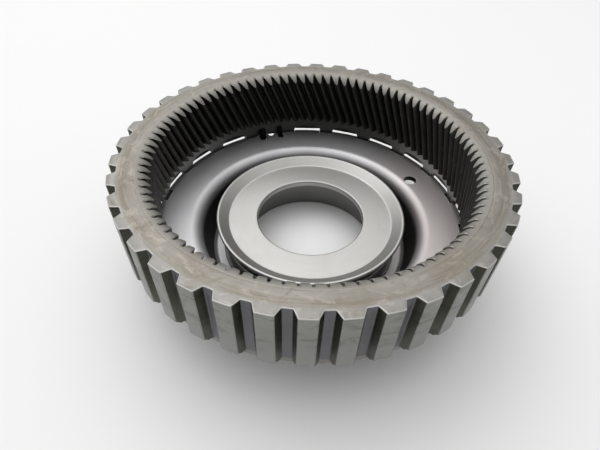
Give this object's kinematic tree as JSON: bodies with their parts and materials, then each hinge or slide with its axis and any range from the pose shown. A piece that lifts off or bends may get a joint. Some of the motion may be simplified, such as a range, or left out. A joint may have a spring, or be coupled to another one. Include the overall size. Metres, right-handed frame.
{
  "type": "planetary ring gear assembly",
  "caption": "Internal helical ring gear with a lugged rim, held by a snap ring on a drawn support flange whose hub carries a roller thrust bearing with a dished race.",
  "frame": {"origin": "on the gear axis, at the hub's rest face", "axes": "+Z along the gear axis from the hub towards the ring gear's open side; +X across"},
  "size_m": [0.18, 0.18, 0.063],
  "materials": {
    "ring_steel": "turned and hobbed steel, satin, with dark oil film between the teeth",
    "flange_steel": "drawn sheet steel, smooth satin",
    "spring_steel": "blackened spring steel",
    "hub_steel": "turned steel, satin",
    "race_steel": "ground bearing steel, bright satin",
    "cage_steel": "pressed steel, dull",
    "roller_steel": "ground and polished"
  },
  "bodies": {
    "ring_gear_assembly": {"ring_gear": "ring_steel", "support_flange": "flange_steel", "snap_ring": "spring_steel", "hub_sleeve": "hub_steel", "thrust_race_lower": "race_steel"},
    "upper_race": {"thrust_race_upper": "race_steel"},
    "cage": {"roller_cage": "cage_steel"},
    "roller_01": {"thrust_roller_01": "roller_steel"},
    "roller_02": {"thrust_roller_02": "roller_steel"},
    "roller_03": {"thrust_roller_03": "roller_steel"},
    "roller_04": {"thrust_roller_04": "roller_steel"},
    "roller_05": {"thrust_roller_05": "roller_steel"},
    "roller_06": {"thrust_roller_06": "roller_steel"},
    "roller_07": {"thrust_roller_07": "roller_steel"},
    "roller_08": {"thrust_roller_08": "roller_steel"},
    "roller_09": {"thrust_roller_09": "roller_steel"},
    "roller_10": {"thrust_roller_10": "roller_steel"},
    "roller_11": {"thrust_roller_11": "roller_steel"},
    "roller_12": {"thrust_roller_12": "roller_steel"},
    "roller_13": {"thrust_roller_13": "roller_steel"},
    "roller_14": {"thrust_roller_14": "roller_steel"},
    "roller_15": {"thrust_roller_15": "roller_steel"},
    "roller_16": {"thrust_roller_16": "roller_steel"},
    "roller_17": {"thrust_roller_17": "roller_steel"},
    "roller_18": {"thrust_roller_18": "roller_steel"},
    "roller_19": {"thrust_roller_19": "roller_steel"},
    "roller_20": {"thrust_roller_20": "roller_steel"},
    "roller_21": {"thrust_roller_21": "roller_steel"},
    "roller_22": {"thrust_roller_22": "roller_steel"},
    "roller_23": {"thrust_roller_23": "roller_steel"},
    "roller_24": {"thrust_roller_24": "roller_steel"}
  },
  "joints": [
    {"name": "race_spin", "type": "hinge", "parent": "ring_gear_assembly", "child": "upper_race", "pos_m": [0, 0, 0.0205], "axis": [0, 0, 1], "continuous": true},
    {"name": "cage_spin", "type": "hinge", "parent": "ring_gear_assembly", "child": "cage", "pos_m": [0, 0, 0.0172], "axis": [0, 0, 1], "continuous": true},
    {"name": "roller_spin_01", "type": "hinge", "parent": "cage", "child": "roller_01", "pos_m": [0.0395, 0, 0.0172], "axis": [1, 0, 0], "continuous": true},
    {"name": "roller_spin_02", "type": "hinge", "parent": "cage", "child": "roller_02", "pos_m": [0.03815, 0.01022, 0.0172], "axis": [0.9659, 0.2588, 0], "continuous": true},
    {"name": "roller_spin_03", "type": "hinge", "parent": "cage", "child": "roller_03", "pos_m": [0.03421, 0.01975, 0.0172], "axis": [0.866, 0.5, 0], "continuous": true},
    {"name": "roller_spin_04", "type": "hinge", "parent": "cage", "child": "roller_04", "pos_m": [0.02793, 0.02793, 0.0172], "axis": [0.7071, 0.7071, 0], "continuous": true},
    {"name": "roller_spin_05", "type": "hinge", "parent": "cage", "child": "roller_05", "pos_m": [0.01975, 0.03421, 0.0172], "axis": [0.5, 0.866, 0], "continuous": true},
    {"name": "roller_spin_06", "type": "hinge", "parent": "cage", "child": "roller_06", "pos_m": [0.01022, 0.03815, 0.0172], "axis": [0.2588, 0.9659, 0], "continuous": true},
    {"name": "roller_spin_07", "type": "hinge", "parent": "cage", "child": "roller_07", "pos_m": [0, 0.0395, 0.0172], "axis": [0, 1, 0], "continuous": true},
    {"name": "roller_spin_08", "type": "hinge", "parent": "cage", "child": "roller_08", "pos_m": [-0.01022, 0.03815, 0.0172], "axis": [-0.2588, 0.9659, 0], "continuous": true},
    {"name": "roller_spin_09", "type": "hinge", "parent": "cage", "child": "roller_09", "pos_m": [-0.01975, 0.03421, 0.0172], "axis": [-0.5, 0.866, 0], "continuous": true},
    {"name": "roller_spin_10", "type": "hinge", "parent": "cage", "child": "roller_10", "pos_m": [-0.02793, 0.02793, 0.0172], "axis": [-0.7071, 0.7071, 0], "continuous": true},
    {"name": "roller_spin_11", "type": "hinge", "parent": "cage", "child": "roller_11", "pos_m": [-0.03421, 0.01975, 0.0172], "axis": [-0.866, 0.5, 0], "continuous": true},
    {"name": "roller_spin_12", "type": "hinge", "parent": "cage", "child": "roller_12", "pos_m": [-0.03815, 0.01022, 0.0172], "axis": [-0.9659, 0.2588, 0], "continuous": true},
    {"name": "roller_spin_13", "type": "hinge", "parent": "cage", "child": "roller_13", "pos_m": [-0.0395, 0, 0.0172], "axis": [-1, 0, 0], "continuous": true},
    {"name": "roller_spin_14", "type": "hinge", "parent": "cage", "child": "roller_14", "pos_m": [-0.03815, -0.01022, 0.0172], "axis": [-0.9659, -0.2588, 0], "continuous": true},
    {"name": "roller_spin_15", "type": "hinge", "parent": "cage", "child": "roller_15", "pos_m": [-0.03421, -0.01975, 0.0172], "axis": [-0.866, -0.5, 0], "continuous": true},
    {"name": "roller_spin_16", "type": "hinge", "parent": "cage", "child": "roller_16", "pos_m": [-0.02793, -0.02793, 0.0172], "axis": [-0.7071, -0.7071, 0], "continuous": true},
    {"name": "roller_spin_17", "type": "hinge", "parent": "cage", "child": "roller_17", "pos_m": [-0.01975, -0.03421, 0.0172], "axis": [-0.5, -0.866, 0], "continuous": true},
    {"name": "roller_spin_18", "type": "hinge", "parent": "cage", "child": "roller_18", "pos_m": [-0.01022, -0.03815, 0.0172], "axis": [-0.2588, -0.9659, 0], "continuous": true},
    {"name": "roller_spin_19", "type": "hinge", "parent": "cage", "child": "roller_19", "pos_m": [0, -0.0395, 0.0172], "axis": [0, -1, 0], "continuous": true},
    {"name": "roller_spin_20", "type": "hinge", "parent": "cage", "child": "roller_20", "pos_m": [0.01022, -0.03815, 0.0172], "axis": [0.2588, -0.9659, 0], "continuous": true},
    {"name": "roller_spin_21", "type": "hinge", "parent": "cage", "child": "roller_21", "pos_m": [0.01975, -0.03421, 0.0172], "axis": [0.5, -0.866, 0], "continuous": true},
    {"name": "roller_spin_22", "type": "hinge", "parent": "cage", "child": "roller_22", "pos_m": [0.02793, -0.02793, 0.0172], "axis": [0.7071, -0.7071, 0], "continuous": true},
    {"name": "roller_spin_23", "type": "hinge", "parent": "cage", "child": "roller_23", "pos_m": [0.03421, -0.01975, 0.0172], "axis": [0.866, -0.5, 0], "continuous": true},
    {"name": "roller_spin_24", "type": "hinge", "parent": "cage", "child": "roller_24", "pos_m": [0.03815, -0.01022, 0.0172], "axis": [0.9659, -0.2588, 0], "continuous": true}
  ],
  "couplings": [
    {"joint": "cage_spin", "follows": "race_spin", "ratio": 0.5},
    {"joint": "roller_spin_01", "follows": "race_spin", "ratio": -14.107},
    {"joint": "roller_spin_02", "follows": "race_spin", "ratio": -14.107},
    {"joint": "roller_spin_03", "follows": "race_spin", "ratio": -14.107},
    {"joint": "roller_spin_04", "follows": "race_spin", "ratio": -14.107},
    {"joint": "roller_spin_05", "follows": "race_spin", "ratio": -14.107},
    {"joint": "roller_spin_06", "follows": "race_spin", "ratio": -14.107},
    {"joint": "roller_spin_07", "follows": "race_spin", "ratio": -14.107},
    {"joint": "roller_spin_08", "follows": "race_spin", "ratio": -14.107},
    {"joint": "roller_spin_09", "follows": "race_spin", "ratio": -14.107},
    {"joint": "roller_spin_10", "follows": "race_spin", "ratio": -14.107},
    {"joint": "roller_spin_11", "follows": "race_spin", "ratio": -14.107},
    {"joint": "roller_spin_12", "follows": "race_spin", "ratio": -14.107},
    {"joint": "roller_spin_13", "follows": "race_spin", "ratio": -14.107},
    {"joint": "roller_spin_14", "follows": "race_spin", "ratio": -14.107},
    {"joint": "roller_spin_15", "follows": "race_spin", "ratio": -14.107},
    {"joint": "roller_spin_16", "follows": "race_spin", "ratio": -14.107},
    {"joint": "roller_spin_17", "follows": "race_spin", "ratio": -14.107},
    {"joint": "roller_spin_18", "follows": "race_spin", "ratio": -14.107},
    {"joint": "roller_spin_19", "follows": "race_spin", "ratio": -14.107},
    {"joint": "roller_spin_20", "follows": "race_spin", "ratio": -14.107},
    {"joint": "roller_spin_21", "follows": "race_spin", "ratio": -14.107},
    {"joint": "roller_spin_22", "follows": "race_spin", "ratio": -14.107},
    {"joint": "roller_spin_23", "follows": "race_spin", "ratio": -14.107},
    {"joint": "roller_spin_24", "follows": "race_spin", "ratio": -14.107}
  ]
}
